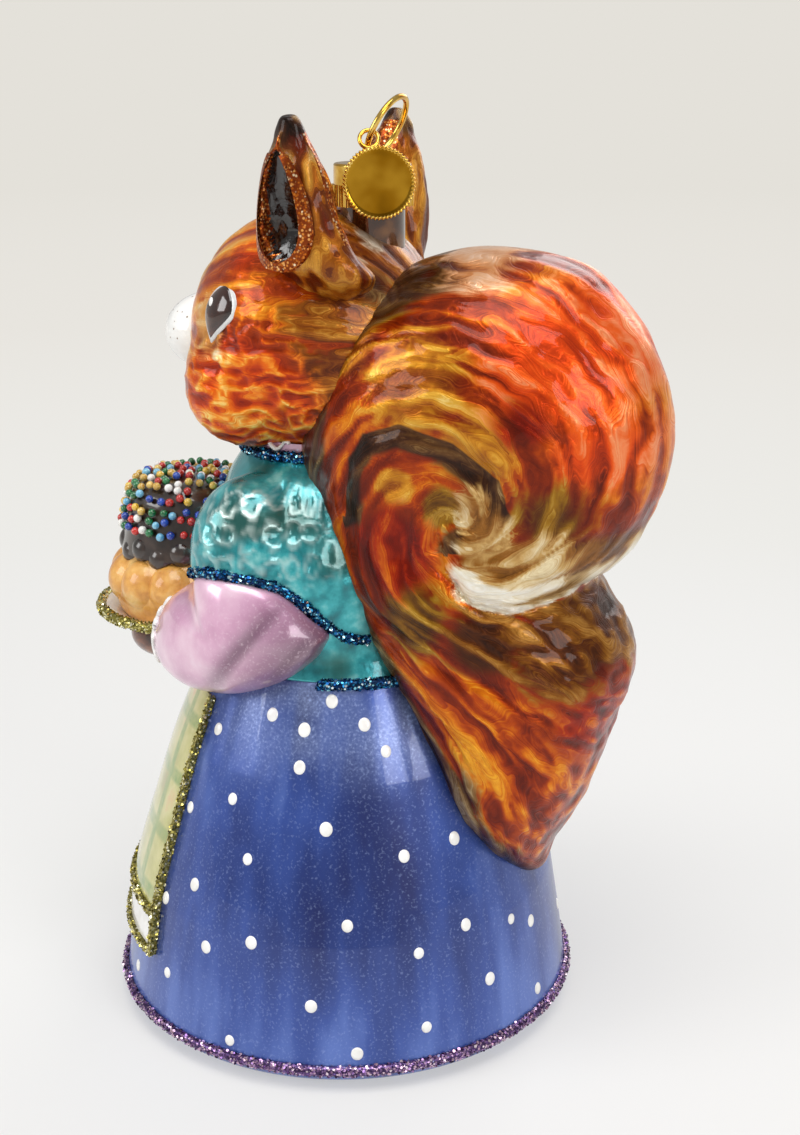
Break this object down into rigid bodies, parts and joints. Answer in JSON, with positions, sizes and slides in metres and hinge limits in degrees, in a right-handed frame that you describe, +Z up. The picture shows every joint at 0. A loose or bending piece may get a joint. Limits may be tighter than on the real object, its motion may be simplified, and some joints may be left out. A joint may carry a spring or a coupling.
{
  "type": "squirrel figurine",
  "caption": "Blown glass squirrel in a dotted dress holding an iced cake, standing on its closed skirt, with a metal cap, hanging ring and round tag.",
  "frame": {"origin": "centre of the flat resting face under the skirt, on the skirt's axis", "axes": "+Z up from the resting face; the squirrel faces -Y, its left hand is on +X and its tail on +Y"},
  "size_m": [0.0844, 0.1061, 0.1599],
  "materials": {
    "blue_pearl_glass": "pearl lacquer over silvered glass",
    "white_enamel": "raised white enamel",
    "apron_enamel": "pale green painted plaid, glossy",
    "gold_green_glitter": "fine glitter in glue",
    "teal_silvered_glass": "teal lacquer over silvered glass",
    "pink_pearl_glass": "pearl lacquer over silvered glass",
    "purple_glitter": "fine glitter in glue",
    "blue_glitter": "fine glitter in glue",
    "amber_silvered_glass": "brushed amber lacquer over silvered glass",
    "brown_enamel": "glossy brown enamel",
    "sponge_enamel": "satin beige enamel",
    "chocolate_enamel": "glossy dark brown enamel",
    "clear_lacquered_glass": "clear lacquered glass",
    "gold_plated_cap": "bright gold plate",
    "gold_plated_wire": "bright gold plate",
    "gold_plated_tag": "polished gold plate",
    "eye_enamel": "glossy dark enamel",
    "copper_glitter": "fine glitter in glue",
    "red_bead_glass": "glossy glass bead",
    "blue_bead_glass": "glossy glass bead",
    "light_blue_bead_glass": "glossy glass bead",
    "green_bead_glass": "glossy glass bead",
    "gold_bead_glass": "glossy glass bead",
    "white_bead_glass": "glossy glass bead",
    "yellow_bead_glass": "glossy glass bead"
  },
  "bodies": {
    "figure": {"skirt": "blue_pearl_glass", "skirt_dots": "white_enamel", "apron_panel": "apron_enamel", "apron_flounce": "white_enamel", "apron_trim": "gold_green_glitter", "plate_trim": "gold_green_glitter", "bodice": "teal_silvered_glass", "collar": "pink_pearl_glass", "neck_lace": "white_enamel", "hem_trim": "purple_glitter", "waist_trim": "blue_glitter", "neckline_trim": "blue_glitter", "head": "amber_silvered_glass", "muzzle": "white_enamel", "nose": "brown_enamel", "tail": "amber_silvered_glass", "cake_plate": "white_enamel", "cake_sponge": "sponge_enamel", "cake_icing": "chocolate_enamel", "glass_neck": "clear_lacquered_glass", "sleeve_left": "pink_pearl_glass", "cuff_left": "white_enamel", "armhole_trim_left": "blue_glitter", "paw_left": "brown_enamel", "eye_left": "eye_enamel", "ear_left": "amber_silvered_glass", "ear_trim_left": "copper_glitter", "sleeve_right": "pink_pearl_glass", "cuff_right": "white_enamel", "armhole_trim_right": "blue_glitter", "paw_right": "brown_enamel", "eye_right": "eye_enamel", "ear_right": "amber_silvered_glass", "ear_trim_right": "copper_glitter", "sprinkles_red": "red_bead_glass", "sprinkles_blue": "blue_bead_glass", "sprinkles_light_blue": "light_blue_bead_glass", "sprinkles_green": "green_bead_glass", "sprinkles_gold": "gold_bead_glass", "sprinkles_white": "white_bead_glass", "sprinkles_yellow": "yellow_bead_glass"},
    "cap_assembly": {"cap": "gold_plated_cap", "cap_clip": "gold_plated_wire"},
    "ring": {"hanging_ring": "gold_plated_wire"},
    "tag": {"tag_disc": "gold_plated_tag", "tag_eyelet": "gold_plated_wire"}
  },
  "joints": [
    {"name": "cap_pull", "type": "slide", "parent": "figure", "child": "cap_assembly", "axis": [0, 0, 1], "range_m": [0, 0.03]},
    {"name": "ring_swing", "type": "hinge", "parent": "cap_assembly", "child": "ring", "pos_m": [0, 0.006, 0.1498], "axis": [1, 0, 0], "range_deg": [-6, 75]},
    {"name": "tag_swing", "type": "hinge", "parent": "ring", "child": "tag", "pos_m": [0.00512, 0.00768, 0.15297], "axis": [0.4226, -0.9063, 0], "range_deg": [0, 50]}
  ]
}
